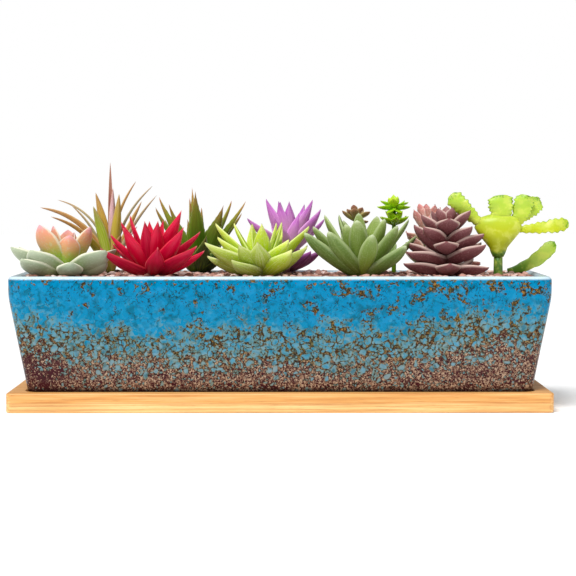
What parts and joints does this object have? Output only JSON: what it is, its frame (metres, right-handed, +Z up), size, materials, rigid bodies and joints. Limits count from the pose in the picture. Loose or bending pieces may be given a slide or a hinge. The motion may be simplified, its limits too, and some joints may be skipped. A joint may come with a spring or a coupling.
{
  "type": "rectangular ceramic planter",
  "caption": "Long rectangular glazed pot with drain holes on a recessed bamboo tray, filled with soil, pebbles and a lift-out planting of succulents.",
  "frame": {"origin": "middle of the tray's underside, which is the face the planter stands on", "axes": "+Z up, +X along the planter's length, -Y towards the front"},
  "size_m": [0.3054, 0.0915, 0.1351],
  "materials": {
    "bamboo": "satin oiled strip bamboo, grain lengthwise, one glue line at mid thickness",
    "glaze": "glossy reactive glaze, bright blue above breaking into brown and aubergine below",
    "screen_plastic": "matte moulded mesh",
    "potting_mix": "loose dark bark and coir mix",
    "pebbles": "washed matte gravel, pink-white to brown",
    "sage_leaf": "powdery grey-green leaves, lime and blush in the cup",
    "red_leaf": "satin crimson leaves",
    "lime_leaf": "satin yellow-green leaves with pale bloom",
    "green_leaf": "matte mid-green leaves with pale speckle",
    "mauve_leaf": "matte mauve-brown leaves with pale edges",
    "purple_leaf": "satin orchid purple leaves",
    "dark_leaf": "satin dark green blades with brown tips",
    "olive_leaf": "satin olive blades with pink tips",
    "bronze_leaf": "matte bronze-green leaves",
    "bright_lime_leaf": "satin bright lime leaves",
    "blush_leaf": "matte pinkish leaves with green bases",
    "spurge_flesh": "translucent yellow-green pads on a dark green trunk",
    "pale_lime_flesh": "translucent pale lime blade, dark green at the base"
  },
  "bodies": {
    "tray": {"bamboo_tray": "bamboo"},
    "pot": {"ceramic_pot": "glaze", "drain_screen_left": "screen_plastic", "drain_screen_middle": "screen_plastic", "drain_screen_right": "screen_plastic"},
    "planting": {"potting_soil": "potting_mix", "pebble_bed": "pebbles", "sage_echeveria": "sage_leaf", "red_agave": "red_leaf", "lime_echeveria": "lime_leaf", "green_finger": "green_leaf", "mauve_pinecone": "mauve_leaf", "purple_echeveria": "purple_leaf", "dark_aloe": "dark_leaf", "spiky_airplant": "olive_leaf", "bronze_rosette": "bronze_leaf", "lime_sedum": "bright_lime_leaf", "blush_rosette": "blush_leaf", "crested_spurge": "spurge_flesh", "spurge_offshoot": "pale_lime_flesh"}
  },
  "joints": [
    {"name": "pot_lift", "type": "slide", "parent": "tray", "child": "pot", "axis": [0, 0, 1], "range_m": [0, 0.06]},
    {"name": "planting_lift", "type": "slide", "parent": "pot", "child": "planting", "axis": [0, 0, 1], "range_m": [0, 0.08]}
  ]
}
